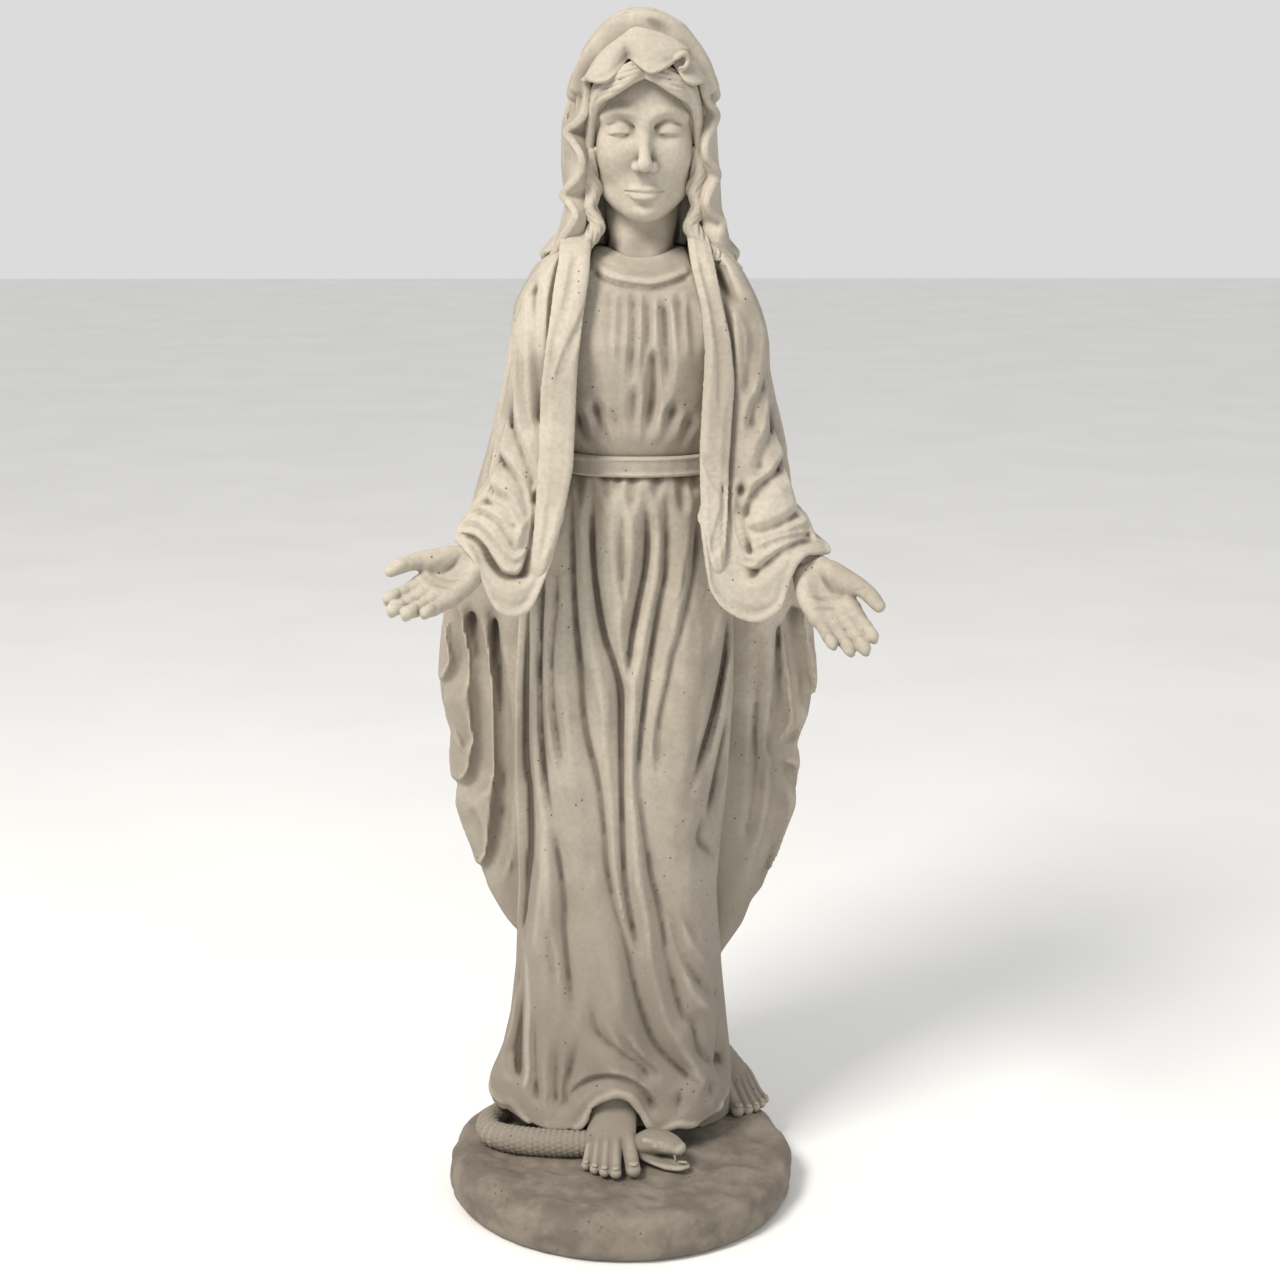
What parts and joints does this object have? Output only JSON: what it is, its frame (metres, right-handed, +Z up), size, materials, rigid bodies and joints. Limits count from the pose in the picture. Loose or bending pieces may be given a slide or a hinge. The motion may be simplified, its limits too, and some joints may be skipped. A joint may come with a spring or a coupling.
{
  "type": "garden madonna statue",
  "caption": "Standing robed figure with veil, open hands and a serpent underfoot, in cast stone on a round base.",
  "frame": {"origin": "centre of the flat underside of the round base", "axes": "+Z up; the figure faces -Y; +X is towards the figure's left hand"},
  "size_m": [0.3478, 0.2635, 0.9],
  "materials": {
    "cast_stone": "matt cream-beige cast stone with fine air-bubble pits and grey-brown grime in the creases",
    "base_stone": "matt grey-brown cast stone, rougher and more weathered than the figure",
    "steel_bar": "plain mild-steel reinforcing bar, dull"
  },
  "bodies": {
    "root": {"base": "base_stone", "gown_skirt": "cast_stone", "bodice": "cast_stone", "belt": "cast_stone", "cloak_back": "cast_stone", "right_sleeve": "cast_stone", "left_sleeve": "cast_stone", "right_lapel": "cast_stone", "left_lapel": "cast_stone", "right_hand": "cast_stone", "left_hand": "cast_stone", "head_and_neck": "cast_stone", "right_hair": "cast_stone", "left_hair": "cast_stone", "veil": "cast_stone", "veil_frill": "cast_stone", "right_foot": "cast_stone", "left_foot": "cast_stone", "serpent_body": "cast_stone", "serpent_head": "cast_stone", "spine_rod": "steel_bar", "right_arm_rod": "steel_bar", "left_arm_rod": "steel_bar"}
  },
  "joints": []
}
